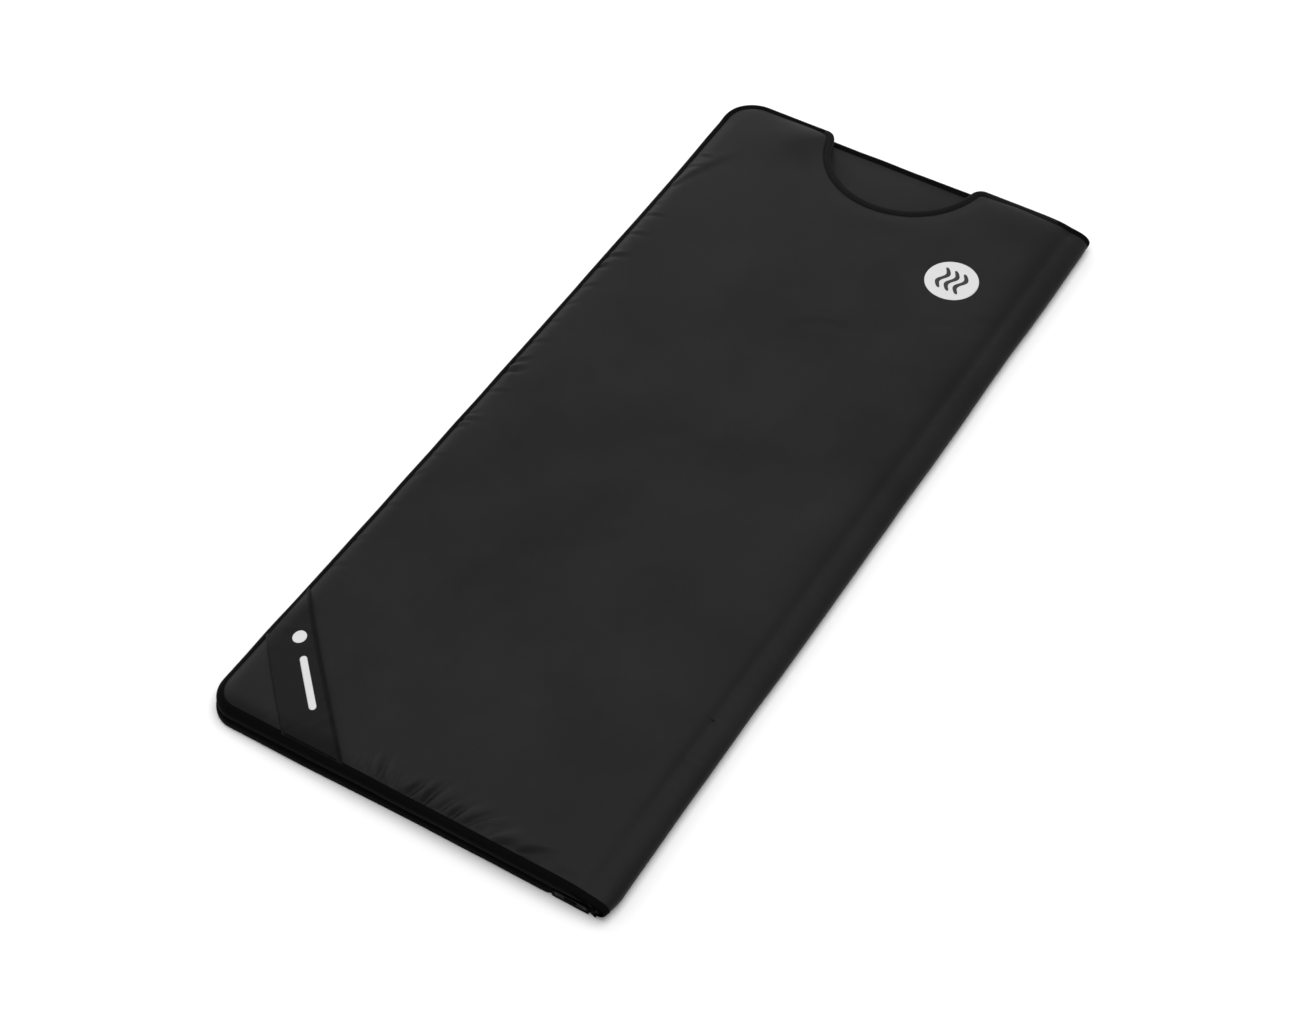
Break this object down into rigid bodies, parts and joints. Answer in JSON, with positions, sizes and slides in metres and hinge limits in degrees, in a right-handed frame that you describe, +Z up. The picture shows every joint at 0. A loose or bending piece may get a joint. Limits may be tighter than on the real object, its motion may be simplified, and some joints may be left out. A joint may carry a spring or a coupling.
{
  "type": "infrared sauna blanket",
  "caption": "Quilted two-layer infrared sauna blanket, folded along one long edge, with a scooped neckline, hook-and-loop closure and heating wire inside.",
  "frame": {"origin": "on the surface it lies on, under the middle of the closed blanket", "axes": "+X from the open long edge to the folded one, +Y from the foot to the head, +Z up"},
  "size_m": [0.8, 1.8, 0.05],
  "materials": {
    "shell_cloth": "polyurethane-coated nylon, fine weave, soft sheen",
    "binding_tape": "folded black tape, stitched",
    "lining_cloth": "coated lining, wipe-clean, fine weave",
    "white_wadding": "soft polyester wadding",
    "foil": "bright metallised reflector",
    "carrier_felt": "stitched non-woven carrier",
    "soft_felt": "needled felt",
    "wire_sleeve": "silicone sleeve over carbon fibre",
    "lead_insulation": "silicone-insulated lead",
    "junction_plastic": "moulded, satin",
    "sensor_plastic": "potted resin",
    "cutout_case": "plated steel can",
    "hook_tape": "hook tape, stiff black hooks",
    "loop_tape": "loop tape, napped black pile",
    "inlet_plastic": "moulded, fine spark texture",
    "contact_brass": "turned and plated pins",
    "plate_steel": "pressed plate",
    "rivet_steel": "blackened flush rivet",
    "print_grey": "soft light-grey transfer print"
  },
  "bodies": {
    "base": {"base_outer_cloth": "shell_cloth", "base_wadding": "white_wadding", "base_foil_reflector": "foil", "base_heater_carrier": "carrier_felt", "base_felt": "soft_felt", "base_lining": "lining_cloth", "base_heating_wire": "wire_sleeve", "base_leads": "lead_insulation", "base_junction_block": "junction_plastic", "base_temperature_sensor": "sensor_plastic", "base_thermal_cutout": "cutout_case", "base_edge_binding": "binding_tape", "base_hook_tape_side": "hook_tape", "base_hook_tape_foot": "hook_tape", "inlet_housing": "inlet_plastic", "inlet_contacts": "contact_brass", "inlet_backing_plate": "plate_steel", "inlet_rivets": "rivet_steel", "fold_outer_cloth": "shell_cloth", "fold_wadding": "white_wadding", "fold_lining": "lining_cloth", "fold_leads": "lead_insulation", "fold_binding_foot": "binding_tape", "fold_binding_head": "binding_tape"},
    "cover": {"cover_outer_cloth": "shell_cloth", "cover_wadding": "white_wadding", "cover_foil_reflector": "foil", "cover_heater_carrier": "carrier_felt", "cover_felt": "soft_felt", "cover_lining": "lining_cloth", "cover_heating_wire": "wire_sleeve", "cover_leads": "lead_insulation", "cover_junction_block": "junction_plastic", "cover_temperature_sensor": "sensor_plastic", "cover_thermal_cutout": "cutout_case", "cover_edge_binding": "binding_tape", "cover_loop_tape_side": "loop_tape", "cover_loop_tape_foot": "loop_tape", "neckline_binding": "binding_tape", "corner_band": "shell_cloth", "corner_badge": "print_grey", "corner_bar": "print_grey", "chest_badge": "print_grey"}
  },
  "joints": [
    {"name": "cover_fold", "type": "hinge", "parent": "base", "child": "cover", "pos_m": [0.376, 0, 0.024], "axis": [0, 1, 0], "range_deg": [0, 180], "deforming": ["fold_outer_cloth", "fold_wadding", "fold_lining", "fold_leads", "fold_binding_foot", "fold_binding_head"]}
  ]
}
